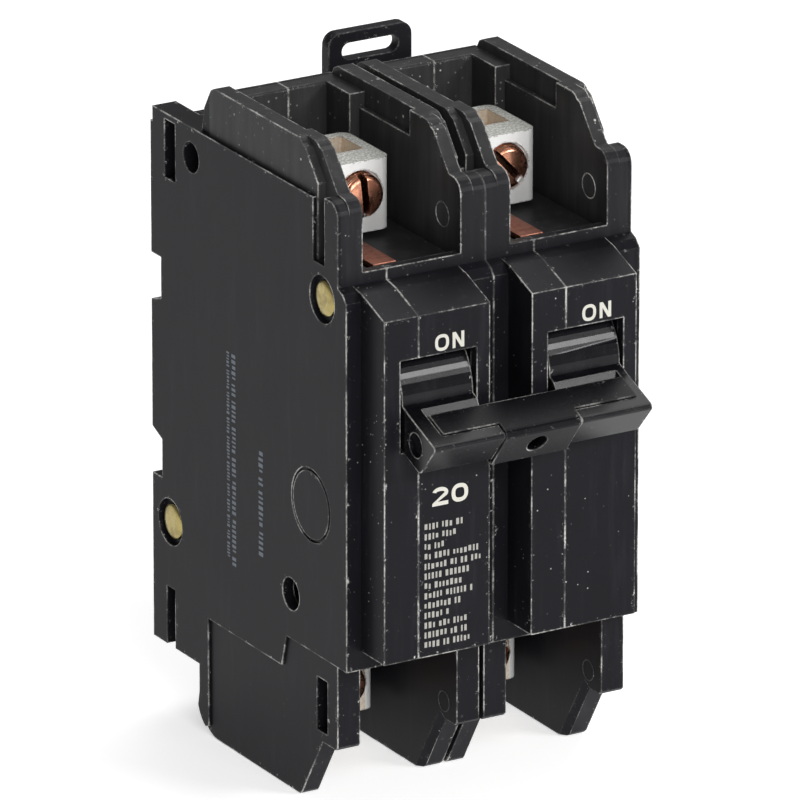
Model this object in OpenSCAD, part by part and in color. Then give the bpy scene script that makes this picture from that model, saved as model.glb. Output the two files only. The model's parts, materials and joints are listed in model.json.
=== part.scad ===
// Two-pole miniature circuit breaker for a 35 mm hat rail.
// Origin: middle of the rail seat. +X right, +Y to the wall behind, +Z up towards ON.

/* [Poles] */
// Width of one pole
pole_w = 25.4; // [25.2:0.1:25.6]
// Thickness of the cover half of a pole, up to the parting plane
cover_w = 8.4; // [8:0.1:9]
// Thickness of the moulded side walls
side_wall = 2; // [1.8:0.1:2.2]

/* [Nose] */
// Front face of the nose, ahead of the rail seat
nose_front = 63; // [62.5:0.5:63.5]
// Width of the nose
nose_w = 18.16; // [18:0.02:18.4]
// Plain shoulder on the left of the nose
nose_margin = 2.52; // [2.4:0.02:2.6]

/* [Terminals] */
// Thickness of the barrier walls beside a terminal
barrier_t = 4.3; // [4:0.1:4.4]
// Width of a box lug
lug_w = 10.6; // [10:0.1:11]
// Depth of a box lug
lug_d = 13.3; // [13:0.1:13.5]
// Height of a box lug
lug_h = 11.3; // [11:0.1:11.5]
// Width of the wire hole in a lug
wire_hole_w = 7; // [6.5:0.1:7]
// Depth of the wire hole, front to back
wire_hole_d = 6.5; // [6:0.1:6.5]
// Radius of a terminal set screw
set_screw_r = 3.5; // [3.3:0.1:3.5]

/* [Handle] */
// Angle of the handle below level when off
off_angle = 21; // [20:0.5:21]
// Turn of the handle from off to on
throw_angle = 40; // [38:0.5:40]
// Radius of the curved shield that closes the window
shield_r = 9.4; // [9.2:0.1:9.5]

/* [Rail latch] */
// Width of the sliding latch
latch_w = 14.7; // [14:0.1:15]
// Thickness of the latch plate
latch_t = 2.1; // [2:0.05:2.15]

/* [Hidden] */

bakelite = [0.05, 0.05, 0.06];
brass = [0.72, 0.6, 0.3];
steel = [0.62, 0.62, 0.6];
copper = [0.72, 0.38, 0.22];
tin = [0.78, 0.78, 0.76];

eps = 0.01;
running_gap = 0.05;

// Case, in side view
rear_y = 3;
shoulder_y = 6.9 - nose_front;
column_y = 9.4 - nose_front;
low_column_y = 10.3 - nose_front;
nose_low = -28;
nose_high = 26.3;
shoulder_low = -31;
ledge_z = 41.4;
ridge_z = 49.1;
floor_z = 30;
ceiling_z = -36.2;
tip_z = -55.4;
low_column_z = -44.8;
slope_y = -48.2;
slope_lean = 31.8;
foot_z = -44.5;
rail_reach = 17.8;
flange_slot_y = [-4.6, -1.3];
low_slot_y = [-3.8, -1.2];

// Case, across a pole
nose_x1 = nose_margin + nose_w;
nose_wall = 1.7;
right_in = pole_w - barrier_t;
mid_x = 13;
flange_slot_w = 4.2;

// Wall behind the upper terminal
back_wall_y = -16.7;
wall_rear_y = -13.1;
wall_top_z = 47.5;
wall_seam = 12.8;
wall_step = 1.7;
panel_z = 45.1;
panel_recess = 0.9;
pilaster_x = 19.4;
pilaster_y = -23.6;
low_back_y = -14;

// Handle window, and the pivot of the handles
window_low = 5.2;
window_high = 19.7;
window_x0 = 5.3;
window_x1 = 18.4;
pivot_y = 9.6 - nose_front;
pivot_z = 12.5;
pivot_boss_r = 3.9;
hub_x0 = 5.7;
hub_x1 = 17.9;
trunnion_r = 2.2;
tie_x0 = -pole_w + 8.4;
tie_x1 = 16.4;

// Contact arm: crank is the throw of its pin about the handle's pivot
crank = 6;
pin_r = 1.1;
arm_len = 23.4;
arm_off = -20;
arm_on = 13.5;
arm_x = 10.6;
arm_t = 2;
spring_eye = [8.4, -1.2];
spring_lean = -132.7;

// Trip bar, cradle and armature
trip_y = -45.5;
trip_z = -7.6;
trip_r = 1.5;
trip_x0 = 2.8;
trip_x1 = 22.6;
trip_boss_r = 4;
trip_window_r = 3.4;
knock_r = 5.8;
knock_line = 0.45;
finger_x = 11.4;
cradle_y = -14.5;
cradle_z = -14;
cradle_x = 17.4;
cradle_t = 1.6;
cradle_boss_r = 3.2;
hang_y = -41.2;
hang_z = 1;
hang_pin_r = 0.7;

// Magnet yoke, bimetal and calibration screw
yoke_low = -22.5;
yoke_high = -15.4;
calib_y = -39.4;
calib_z = -23.8;
calib_r = 1.5;

// Terminals
lug_y = 25.2 - nose_front;
lug_z = 30.8;
low_lug_y = 30.2 - nose_front;
low_lug_z = -48;
screw_z = 36.9;
low_screw_z = screw_z + low_lug_z - lug_z - 1.3;
lug_lip = 5.1;
strap_x0 = 7.6;
strap_x1 = 11.6;
strap_t = 1.2;

// Arc chute
plate_count = 6;
plate_pitch = 2.7;
plate_z = 3.7;

// Rivets, and the holes in the cover's side: y, z and radius
rivet_points = [[-49, 26.1], [-2.4, -24.3]];
rivet_r = 1.6;
rivet_head_r = 2.85;
rivet_head_in = 0.9;
rivet_boss_r = [3.4, 4.6, 5.2];
hole_points = [[-9.5, 36.6, 2.4], [calib_y, calib_z, 2.55]];

// Rail latch
latch_x = pole_w / 2;
latch_y = 2.4;
latch_top = 47.3;
latch_gap = 0.3;
guide_w = 1.4;
latch_slot_x = 3.65;

// ---- drawing helpers: an outline in side view (y, z) extruded across the pole

module slab(x0, x1) {
    translate([x0, 0, 0]) rotate([90, 0, 90]) linear_extrude(height = x1 - x0) children();
}

module block(lo, hi) {
    translate(lo) cube(hi - lo);
}

module rod(x0, x1, y, z, r, fn = 48) {
    translate([x0, y, z]) rotate([0, 90, 0]) cylinder(h = x1 - x0, r = r, $fn = fn);
}

module post(y0, y1, x, z, r, fn = 48) {
    translate([x, y1, z]) rotate([90, 0, 0]) cylinder(h = y1 - y0, r = r, $fn = fn);
}

module left_pole() {
    translate([-pole_w, 0, 0]) children();
}

module both_poles() {
    left_pole() children();
    children();
}

function arc(c, r, a0, a1, n = 8) = [
    for (i = [0:n]) let (a = a0 + (a1 - a0) * i / n) c + r * [cos(a), sin(a)]
];

// ---- coil springs: a wire swept along a helix that stands on z = 0

function ring_at(p, t, w, sides) =
    let (side = [-t[1], t[0], 0] / norm([t[0], t[1], 0]), up = cross(t, side) / norm(t))
    [for (k = [0:sides - 1]) p + w * (cos(360 * k / sides) * side + sin(360 * k / sides) * up)];

module wire(points, w, sides = 6) {
    n = len(points);
    rings = [
        for (i = [0:n - 1])
            let (a = points[max(i - 1, 0)], b = points[min(i + 1, n - 1)])
            for (q = ring_at(points[i], b - a, w, sides)) q
    ];
    walls = [
        for (i = [0:n - 2], k = [0:sides - 1])
            let (m = (k + 1) % sides, a = i * sides, b = (i + 1) * sides)
            each [[a + k, b + k, b + m], [a + k, b + m, a + m]]
    ];
    start = [for (k = [0:sides - 1]) k];
    end = [for (k = [sides - 1:-1:0]) (n - 1) * sides + k];
    polyhedron(rings, concat(walls, [start, end]));
}

module coil(r, h, turns, w) {
    steps = 12;
    wire([
        for (i = [0:turns * steps])
            let (a = 360 * i / steps)
            [r * cos(a), r * sin(a), w + (h - 2 * w) * i / (turns * steps)]
    ], w);
}

// ---- case outlines

// Everything behind the nose: shoulder, terminal floors, back walls and rail side
module core_outline() {
    difference() {
        polygon(concat(
            [[shoulder_y, shoulder_low], [shoulder_y, 27.4], [shoulder_y + 1.1, 28.6]],
            [[column_y, 29.2], [column_y, 31], [column_y + 1.5, 31], [column_y + 1.9, floor_z]],
            [[back_wall_y, floor_z], [back_wall_y, ledge_z], [-5, ledge_z], [-5, 39], [rear_y, 39]],
            [[rear_y, foot_z], [-11.2, foot_z], [-11.2, tip_z + 6.5]],
            arc([-15.2, tip_z + 5.3], 4.6, -15, -62, 5),
            [[low_back_y, tip_z + 1.6], [low_back_y, ceiling_z], [-36.5, ceiling_z]],
            [[-38, shoulder_low]]
        ));
        rail_notches();
    }
}

// The two notches that take the edges of the rail
module rail_notches() {
    polygon([[0, 11.2], [rear_y + 1, 10], [rear_y + 1, rail_reach], [0, rail_reach]]);
    polygon([[0, -rail_reach], [rear_y + 1, -rail_reach], [rear_y + 1, -9.8], [0, -11.6]]);
}

module nose_outline() {
    polygon([
        [-nose_front, nose_low], [-nose_front, nose_high], [shoulder_y - 0.2, 28.7],
        [column_y, 29.2], [column_y, nose_low]
    ]);
}

// Upper barrier beside a terminal; set_back moves the sloping front to the rear
module barrier_outline(set_back) {
    f = -49.3 + set_back;
    polygon(concat(
        [[column_y, 26]],
        arc([column_y + 2.4, 40], 2.4, 180, 95, 6),
        [[f - 0.8, 42.5], [f, 43.3], [f + 3.8, 48]],
        arc([f + 6.4, ridge_z - 2.2], 2.2, 140, 90, 4),
        [[-15.4, ridge_z], [-14.4, ridge_z - 0.5], [-12.4, 45.3], [-11.6, ledge_z], [-11.6, 26]]
    ));
}

// Lower barrier, with its pointed tip
module low_barrier_outline() {
    polygon(concat(
        [[low_column_y, -28], [low_column_y, low_column_z + 0.5], [low_column_y + 0.5, low_column_z]],
        [[slope_y, low_column_z], [-42, tip_z + 0.5], [-41.4, tip_z]],
        [[-15.8, tip_z]],
        arc([-16, tip_z + 4.6], 4.6, -80, -10, 5),
        [[-11.2, -28]]
    ));
}

// The closed chamber for the mechanism
module cavity_outline() {
    polygon([
        [shoulder_y + 2, -27.5], [shoulder_y + 2, 26.6], [-52.6, 27.5], [-8, 27.5], [-8, -27.5]
    ]);
}

module nose_cavity_outline() {
    polygon([[1.8 - nose_front, nose_low + 2], [1.8 - nose_front, 24], [-52, 25.5], [-52, nose_low + 2]]);
}

// ---- the two halves of a pole

// What both halves share, between two planes across the pole
module half_solid(x0, x1) {
    slab(x0, x1) core_outline();
    slab(max(x0, nose_margin), min(x1, nose_x1)) nose_outline();
}

// Top of the wall behind the upper terminal, above the ledge
module back_wall_top(x0, x1) {
    slab(x0, x1) polygon([
        [back_wall_y, ledge_z], [back_wall_y, wall_top_z - 0.3], [back_wall_y + 0.3, wall_top_z],
        [wall_rear_y, wall_top_z], [wall_rear_y, ledge_z]
    ]);
}

// The hollows of a half: chamber, nose and handle window
module half_voids(x0, x1) {
    slab(max(x0, side_wall), min(x1, pole_w - side_wall)) cavity_outline();
    slab(max(x0, nose_margin + nose_wall), min(x1, nose_x1 - nose_wall)) nose_cavity_outline();
    block(
        [max(x0, window_x0), -nose_front - 1, window_low],
        [min(x1, window_x1), 3 - nose_front, window_high]
    );
}

// Slot beside the upper rail flange, between two planes across the pole
module flange_slot(x0, x1) {
    block([x0, flange_slot_y[0], 31.1], [x1, flange_slot_y[1], 40.4]);
}

// Boss about an axle, kept behind the shoulder's skin
module pivot_boss(x0, x1, y, z, r) {
    intersection() {
        rod(x0, x1, y, z, r);
        block([x0 - 1, shoulder_y + 0.3, z - 20], [x1 + 1, 0, z + 20]);
    }
}

// Fixed hook below the rail
module hooks(x0, x1) {
    block([x0, 1.5, -rail_reach - 0.2], [x1, rear_y, -15.8]);
}

// Bores for the rivets, and the recesses for their heads
module rivet_seat(x0, x1, head_x) {
    for (p = rivet_points) {
        rod(x0 - 1, x1 + 1, p[0], p[1], rivet_r + running_gap);
        rod(head_x - rivet_head_in, head_x + rivet_head_in, p[0], p[1], 3.7);
    }
}

// A boss round each rivet, kept inside the case
module rivet_bosses(x0, x1) {
    for (k = [0, 1]) rod(x0, x1, rivet_points[k][0], rivet_points[k][1], rivet_boss_r[k + 1]);
}

module cover_half() {
    difference() {
        union() {
            half_solid(0, cover_w);
            back_wall_top(barrier_t - 1, wall_seam);
            side_barriers();
            block([0, -5, 38], [4.1, rear_y - 0.6, ledge_z]);
            intersection() {
                rivet_bosses(0, side_wall + 1);
                block([0, shoulder_y - 0.4, -40], [cover_w, rear_y, 31]);
            }
        }
        difference() {
            half_voids(-1, cover_w + 1);
            rod(0, cover_w, rivet_points[0][0], rivet_points[0][1], rivet_boss_r[0]);
            pivot_boss(1, 5.2, pivot_y, pivot_z, pivot_boss_r);
            rod(nose_margin + 0.1, 5.2, pivot_y, pivot_z, pivot_boss_r);
            rod(1, 5, cradle_y, cradle_z, cradle_boss_r);
            rod(1, 4.5, trip_y, trip_z, trip_boss_r);
        }
        rod(3, 6, pivot_y, pivot_z, trunnion_r + running_gap);
        rod(trip_x0 - 0.2, 6, trip_y, trip_z, trip_r + running_gap);
        rod(1.2, 6, hang_y, hang_z, hang_pin_r + 0.02);
        strap_way();
        rivet_seat(0, cover_w, 0);
        block([barrier_t - panel_recess, back_wall_y - 1, panel_z], [5.5, back_wall_y + wall_step, ridge_z]);
        flange_slot(-eps, flange_slot_w);
        block([-eps, low_slot_y[0], foot_z - 1], [flange_slot_w, low_slot_y[1], -35]);
        for (h = hole_points) rod(-1, side_wall + 3, h[0], h[1], h[2]);
        knock_out_groove(0);
        block([4.1, -5.1, 37], [cover_w + 1, 0.4, 44]);
    }
    hooks(5, cover_w);
}

// Way for the line strap past the rivet boss and up through the terminal floor
module strap_way() {
    gap = 0.4;
    block([strap_x0 - gap, -51 - gap, 27], [strap_x1 + gap, -45, floor_z + 2]);
    block([strap_x0 - gap, -47 - gap, 24.4 - gap], [strap_x1 + gap, -44, floor_z]);
}

// Shallow ring that marks the trip-bar knock-out
module knock_out_groove(x) {
    difference() {
        rod(x - 0.35, x + 0.35, trip_y, trip_z, knock_r);
        rod(x - 1, x + 1, trip_y, trip_z, knock_r - knock_line);
    }
}

// Barrier walls beside the terminals, drawn for the cover and mirrored for the base
module side_barriers() {
    difference() {
        slab(2.1, barrier_t) barrier_outline(0);
        block([barrier_t - panel_recess, -38.6, panel_z], [barrier_t + 1, -11, ridge_z + 1]);
    }
    difference() {
        slab(0.7, 2.2) barrier_outline(2.6);
        block([-1, column_y - 1, 20], [3, -46.6, ledge_z + 4]);
    }
    slab(0, 2.2) polygon(concat(
        [[column_y, 26]], arc([column_y + 2.4, 39.8], 2.4, 180, 90, 6), [[-49.7, 42.2], [-49.7, 26]]
    ));
    slab(0, 2.2) polygon([[-46.3, 28], [-46.3, ledge_z], [-11, ledge_z], [-11, 28]]);
    slab(0, 2.2) polygon([[column_y, 26], [column_y, 31.5], [-45, 31.5], [-45, 26]]);
    difference() {
        slab(0.4, barrier_t) low_barrier_outline();
        block([-1, -49.7, -43.2], [2.6, -46.5, -34.7]);
        translate([barrier_t, slope_y, low_column_z]) rotate([slope_lean - 180, 0, 0]) rotate([0, 0, 45])
            block([-0.7, -0.7, -0.5], [0.7, 0.7, 19.5]);
    }
}

// Way for the load strap down through the ceiling of the lower terminal
module load_strap_way() {
    block([9, -34.2, -38], [17, -31.4, -26]);
    block([9, -34.2, -38], [17, -19.6, ceiling_z + 0.3]);
}

module base_half() {
    difference() {
        union() {
            half_solid(cover_w, pole_w);
            back_wall_top(wall_seam, right_in + 1);
            translate([pole_w, 0, 0]) mirror([1, 0, 0]) side_barriers();
            block([pilaster_x, pilaster_y, floor_z - 1], [right_in + 1, wall_rear_y, wall_top_z]);
            block([pole_w - 4.1, -5, 38], [pole_w, rear_y - 0.6, ledge_z]);
        }
        difference() {
            half_voids(cover_w - 1, pole_w + 1);
            rod(cover_w, pole_w, rivet_points[0][0], rivet_points[0][1], rivet_boss_r[0]);
            pivot_boss(18.3, pole_w - 1, pivot_y, pivot_z, pivot_boss_r);
            rod(18.3, nose_x1 - 0.1, pivot_y, pivot_z, pivot_boss_r);
            rod(19.4, pole_w - 1, cradle_y, cradle_z, cradle_boss_r);
            rod(20.6, pole_w - 1, trip_y, trip_z, trip_boss_r);
        }
        rod(18, 20.6, pivot_y, pivot_z, trunnion_r + running_gap);
        rod(20, trip_x1 + 0.2, trip_y, trip_z, trip_r + running_gap);
        rod(19, 24.2, hang_y, hang_z, hang_pin_r + 0.02);
        rivet_seat(cover_w, pole_w, pole_w);
        strap_way();
        load_strap_way();
        block([cover_w - 1, -5.1, 37], [pole_w - 4.1, 0.4, 44]);
        flange_slot(pole_w - flange_slot_w - 1, pole_w + eps);
    }
    rod(15.6, 20, cradle_y, cradle_z, 1.4);
    hooks(cover_w, 20.4);
}

// Way for the latch, its foot and its spring
module latch_channel() {
    half = latch_w / 2 + latch_gap;
    block([latch_x - half, latch_y - latch_gap, 17], [latch_x + half, 9, 50]);
    block([6.7, 0.7, 17], [18.7, 9, 24.8]);
    block([10.4, -2.9, 24], [15, latch_y, 38]);
}

// Side rails that hold the latch against the case
module latch_guides(x0, x1) {
    half = latch_w / 2 + latch_gap;
    lip = half - 1.9;
    intersection() {
        difference() {
            block([latch_x - half - guide_w, rear_y - 0.5, 26], [latch_x + half + guide_w, 6, 38.6]);
            block([latch_x - half, 0, 20], [latch_x + half, latch_y + latch_t + latch_gap, 45]);
            block([latch_x - lip, 0, 20], [latch_x + lip, 9, 45]);
        }
        block([x0, -9, 0], [x1, 9, 60]);
    }
}

module left_cover() {
    color(bakelite) left_pole() cover_half();
}

module left_base() {
    color(bakelite) left_pole() difference() {
        base_half();
        rod(20, pole_w + 1, trip_y, trip_z, trip_window_r);
    }
}

module right_cover() {
    color(bakelite) {
        difference() {
            cover_half();
            rod(-1, 5, trip_y, trip_z, trip_window_r);
            latch_channel();
        }
        latch_guides(0, cover_w);
    }
}

module right_base() {
    color(bakelite) {
        difference() {
            base_half();
            latch_channel();
            knock_out_groove(pole_w);
        }
        latch_guides(cover_w, pole_w);
    }
}

// ---- handles and tie; drawn with the lever level, then turned down to off

module at_off() {
    translate([0, pivot_y, pivot_z]) rotate([off_angle, 0, 0]) children();
}

// The finger grip ahead of the hub
module lever_outline() {
    polygon(concat(
        [[-8.6, 3.4], [-11.2, 3.3]],
        arc([-18.5, 2.8], 0.6, 80, 200, 4),
        [[-17, -2.9], [-16.4, -3.2], [-8.6, -3.2]]
    ));
}

// Curved shield that fills the window, from a given inner radius
module shield_sector(r_in) {
    half = 51 + throw_angle / 2;
    polygon(concat(
        arc([0, 0], shield_r, 180 - half, 180 + half, 28), arc([0, 0], r_in, 180 + half, 180 - half, 20)
    ));
}

// One handle, with the pocket for the tie between two planes
module handle_body(pocket_x0, pocket_x1) {
    difference() {
        union() {
            slab(hub_x0, hub_x1) lever_outline();
            slab(hub_x0, hub_x1) shield_sector(7.6);
            slab(hub_x0, hub_x0 + 1.8) shield_sector(2);
            slab(hub_x1 - 1.8, hub_x1) shield_sector(2);
            rod(hub_x0, hub_x1, 0, 0, 4.2);
            rod(hub_x0 - 2.5, hub_x1 + 2.2, 0, 0, trunnion_r);
            slab(8.8, 14.6) polygon([[0, -2.6], [crank, -2.6], [crank, 2.6], [0, 2.6]]);
            rod(8.8, 14.6, crank, 0, 2.6);
        }
        slab(arm_x - 0.4, arm_x + arm_t + 0.4) polygon([[1.6, -6], [12, -6], [12, 6], [1.6, 6]]);
        rod(8, 16, crank, 0, pin_r + 0.02);
        slab(pocket_x0, pocket_x1) polygon([[-16.7, 2.5], [-16.7, 5], [-8, 5], [-11.1, 2.5]]);
        rod(hub_x0 - 1, hub_x0 + 0.6, -14.2, 0.2, 1.9);
    }
}

module left_handle() {
    color(bakelite) left_pole() at_off() handle_body(tie_x0 + pole_w - 0.1, hub_x1 + 1);
}

module right_handle() {
    color(bakelite) at_off() handle_body(hub_x0 - 1, tie_x1 + 0.1);
}

// Bar that joins the two handles, with a web in the gap between them
module handle_tie() {
    web_x0 = hub_x1 - pole_w + 0.1;
    web_x1 = hub_x0 - 0.1;
    color(bakelite) at_off() difference() {
        union() {
            slab(tie_x0, tie_x1) polygon([[-16.6, 2.55], [-16.6, 3.7], [-12, 3.7], [-12, 2.55]]);
            slab(web_x0, web_x1) polygon(concat(
                arc([-18.2, 2.7], 1, 90, 190, 5),
                [[-17.2, -3.9], [-16.6, -4.2], [-14.6, -4.2], [-15.2, 1.4], [-12, 1.4], [-12, 3.7]]
            ));
        }
        translate([(web_x0 + web_x1) / 2, -17.8, -0.4]) rotate([78, 0, 0])
            cylinder(h = 8, r = 1.6, center = true, $fn = 40);
    }
}

module arm_pins() {
    color(steel) both_poles() at_off() rod(8.9, 14.5, crank, 0, pin_r);
}

// ---- contact arms and springs

module at_arm() {
    translate([0, pivot_y + crank * cos(off_angle), pivot_z + crank * sin(off_angle)])
        rotate([arm_off, 0, 0]) children();
}

module contact_arm_body() {
    at_arm() difference() {
        union() {
            rod(arm_x, arm_x + arm_t, 0, 0, 2.4);
            slab(arm_x, arm_x + arm_t) polygon([
                [0, -2.2], [0, 2.2], [6, 1.2], [arm_len - 3, 0.1], [arm_len + 1.6, -0.9],
                [arm_len + 1.8, -2.8], [arm_len - 4, -2.8], [8, -3.4], [5, -2.4]
            ]);
            translate([arm_x + arm_t / 2, arm_len, -0.9]) rotate([-arm_on, 0, 0])
                cylinder(h = 0.95, r = 1.8, $fn = 40);
        }
        rod(arm_x - 1, arm_x + arm_t + 1, 0, 0, pin_r + 0.06);
        rod(arm_x - 1, arm_x + arm_t + 1, spring_eye[0], spring_eye[1], 0.7);
    }
}

module left_contact_arm() {
    color(copper) left_pole() contact_arm_body();
}

module right_contact_arm() {
    color(copper) contact_arm_body();
}

module main_spring_body() {
    at_arm() translate([arm_x + arm_t + 1.9, spring_eye[0], spring_eye[1]]) rotate([spring_lean, 0, 0])
        coil(1.25, 25.4, 13, 0.28);
}

module left_main_spring() {
    color(steel) left_pole() main_spring_body();
}

module right_main_spring() {
    color(steel) main_spring_body();
}

// ---- latch train: cradle, armature, trip bar, bimetal and magnet

module cradle_body() {
    difference() {
        slab(cradle_x, cradle_x + cradle_t) polygon([
            [cradle_y + 2.8, cradle_z - 1.6], [cradle_y - 1, cradle_z - 3], [-24, -15.5], [-31, -14.8],
            [-35, -11.6], [-40, -9.8], [-40, -8], [-34, -8.6], [-28, -11.6], [-20, -10.4],
            [cradle_y + 2.6, cradle_z + 2]
        ]);
        rod(cradle_x - 1, cradle_x + 3, cradle_y, cradle_z, 1.46);
        rod(cradle_x - 1, cradle_x + 3, -28, -13.2, 0.6);
    }
}

module left_cradle() {
    color(steel) left_pole() cradle_body();
}

module right_cradle() {
    color(steel) cradle_body();
}

module armature_body() {
    difference() {
        union() {
            rod(8.2, 19, hang_y, hang_z, 1.4);
            block([8.2, hang_y, -20.5], [19, hang_y + 1, hang_z]);
        }
        rod(8, 20, hang_y, hang_z, hang_pin_r + 0.07);
        block([10, hang_y - 1, -6], [16.4, hang_y + 2, -0.6]);
    }
}

module left_armature() {
    color(steel) left_pole() armature_body();
}

module right_armature() {
    color(steel) armature_body();
}

module armature_pins() {
    color(steel) both_poles() rod(1.3, 24.1, hang_y, hang_z, hang_pin_r);
}

// Common bar that trips both poles; a finger on it reaches down ahead of each armature
module trip_bar() {
    color([0.75, 0.73, 0.68]) {
        rod(trip_x0 - pole_w, trip_x1, trip_y, trip_z, trip_r);
        for (x = [finger_x - pole_w, finger_x]) slab(x, x + 3.6) polygon([
            [trip_y - 1, trip_z - 0.6], [trip_y + 0.6, trip_z + 1.2], [-42.4, -9.4], [-41.6, -10.6],
            [-41.6, -12.8], [-42.6, -12.8], [-43.4, -11]
        ]);
    }
}

module bimetals() {
    color([0.7, 0.68, 0.6]) both_poles() slab(9.4, 16.6) polygon([
        [-44.2, -26.2], [-44.2, -15.2], [-43.4, -15.2], [-43.4, -25.4], [-37, -25.4], [-37, -26.2]
    ]);
}

module magnet_yokes() {
    color(steel) both_poles() {
        block([7.6, -46.2, yoke_low], [18.4, -45, yoke_high]);
        for (x = [7.6, 17.2]) block([x, -45.2, yoke_low], [x + 1.2, -42.6, yoke_high]);
        post(-45.1, -44.2, mid_x, -19, 1.1);
    }
}

// Flexible copper braid from the bimetal up towards the contact arm
module braids() {
    run = [
        [8.64, -43.8, -25], [6.6, -43.6, -23.4], [6.1, -43.2, -20], [5.6, -41.6, -13], [5.5, -38.6, -6],
        [5.7, -36.2, 1], [6.6, -35.6, 6], [8.6, -36.2, 9.6], [9.55, -36.8, 10.4]
    ];
    color(copper) both_poles() wire(smooth(run, 4), 0.75);
}

function blend(p0, p1, p2, p3, t) =
    0.5 * (2 * p1 + t * (p2 - p0) + t * t * (2 * p0 - 5 * p1 + 4 * p2 - p3)
    + t * t * t * (3 * p1 - p0 - 3 * p2 + p3));

// Points along a smooth curve that passes through the given ones
function smooth(p, n) = [
    for (i = [0:len(p) - 2], k = [0:n - 1])
        blend(p[max(i - 1, 0)], p[i], p[i + 1], p[min(i + 2, len(p) - 1)], k / n),
    p[len(p) - 1]
];

// ---- conductors and terminals

// From under the upper lug, down inside the nose and back to the fixed contact
module line_straps() {
    color(copper) both_poles() {
        block([strap_x0, -36, floor_z + 0.1], [17.4, -25, lug_z]);
        block([strap_x0, -51, floor_z + 0.1], [strap_x1, -36, lug_z]);
        block([strap_x0, -47.1, 24.4], [strap_x1, -47.1 + strap_t, lug_z]);
        block([strap_x0, -47.1, 24.4], [strap_x1, -19.2, 24.4 + strap_t]);
        block([strap_x0, -19.2 - strap_t, 17.4], [strap_x1, -19.2, 25]);
        block([strap_x0, -28.4, 17.4], [13.6, -19.2, 17.4 + strap_t]);
        translate([arm_x + arm_t / 2, -25, 16.2]) cylinder(h = 1.3, r = 1.9, $fn = 40);
    }
}

// From the bimetal's foot down onto the lower lug, with a tab for the calibration screw
module load_straps() {
    top = low_lug_z + lug_h;
    foot = -26.2;
    color(copper) both_poles() difference() {
        union() {
            block([9.4, -39.6, foot - strap_t], [16.6, -31.6, foot]);
            block([9.4, -31.6 - strap_t, top], [16.6, -31.6, foot]);
            block([9.4, -31.6 - strap_t, top], [16.6, -20, top + 0.7]);
            block([5.4, -39.6, foot - strap_t], [9.5, -37.2, foot]);
            block([5.4, -41.4, foot - strap_t], [5.4 + strap_t, -37.2, -21.6]);
        }
        rod(5, 7, calib_y, calib_z, calib_r);
    }
}

// One box lug with its front lower left corner at the given y and z
module lug(y, z, screw_at) {
    r = 1.6;
    x0 = mid_x - lug_w / 2;
    x1 = mid_x + lug_w / 2;
    difference() {
        union() {
            block([x0 + r, y, z], [x1 - r, y + lug_d, z + lug_h]);
            block([x0, y + r, z], [x1, y + lug_d - r, z + lug_h]);
            for (x = [x0 + r, x1 - r], yy = [y + r, y + lug_d - r])
                translate([x, yy, z]) cylinder(h = lug_h, r = r, $fn = 40);
        }
        block(
            [mid_x - wire_hole_w / 2, y + lug_lip, z - 1],
            [mid_x + wire_hole_w / 2, y + lug_lip + wire_hole_d, z + lug_h + 1]
        );
        post(y - 1, y + 9.2, mid_x, screw_at, set_screw_r + running_gap);
        post(y - 1, y + 0.7, mid_x, screw_at, set_screw_r + 0.35);
    }
}

module upper_lugs() {
    color(tin) both_poles() lug(lug_y, lug_z, screw_z);
}

module lower_lugs() {
    color(tin) both_poles() lug(low_lug_y, low_lug_z, low_screw_z);
}

// Slotted set screw: y is its front face, turn the angle of its slot
module set_screw(y, z, turn) {
    long = 6.4;
    groove = 0.28;
    difference() {
        union() {
            post(y + 0.4, y + long - 0.6, mid_x, z, set_screw_r - groove);
            for (k = [0:5]) post(y + 0.5 + k * 0.9, y + 1 + k * 0.9, mid_x, z, set_screw_r);
            translate([mid_x, y + 0.4, z]) rotate([90, 0, 0])
                cylinder(h = 0.4, r1 = set_screw_r - groove, r2 = set_screw_r - 0.7, $fn = 48);
            post(y + long - 0.7, y + long, mid_x, z, set_screw_r - 1);
        }
        translate([mid_x, y, z]) rotate([0, turn, 0])
            block([-0.6, -1, -set_screw_r - 1], [0.6, 1.9, set_screw_r + 1]);
    }
}

module upper_left_screw() {
    color(copper) left_pole() set_screw(lug_y - 1.7, screw_z, -6);
}

module upper_right_screw() {
    color(copper) set_screw(lug_y - 1.1, screw_z, -42);
}

module lower_left_screw() {
    color(copper) left_pole() set_screw(low_lug_y - 1.4, low_screw_z, 25);
}

module lower_right_screw() {
    color(copper) set_screw(low_lug_y - 1.4, low_screw_z, 70);
}

// ---- arc chute

module arc_plates() {
    color(steel) both_poles() for (k = [0:plate_count - 1]) let (z = plate_z + plate_pitch * k) difference() {
        block([5.1, -18.2, z], [19.9, -9.4, z + 1]);
        block([10.2, -19, z - 0.5], [13, -13.5, z + 1.5]);
    }
}

module arc_cards() {
    color([0.45, 0.2, 0.14]) both_poles() for (x = [4.3, 19.9])
        block([x, -18.6, 2.2], [x + 0.8, -8, 20.4]);
}

module calibration_screws() {
    color(brass) both_poles() difference() {
        union() {
            rod(3.4, 8.4, calib_y, calib_z, calib_r);
            rod(3.4, 4.4, calib_y, calib_z, 2.3);
        }
        block([3, calib_y - 2.6, calib_z - 0.3], [3.9, calib_y + 2.4, calib_z + 0.3]);
    }
}

// ---- fasteners and rail latch

module case_rivets() {
    color(brass) both_poles() for (p = rivet_points) {
        rod(0.5, pole_w - 0.5, p[0], p[1], rivet_r);
        rod(0.5, rivet_head_in, p[0], p[1], rivet_head_r);
        rod(pole_w - rivet_head_in, pole_w - 0.5, p[0], p[1], rivet_head_r);
    }
}

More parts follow.
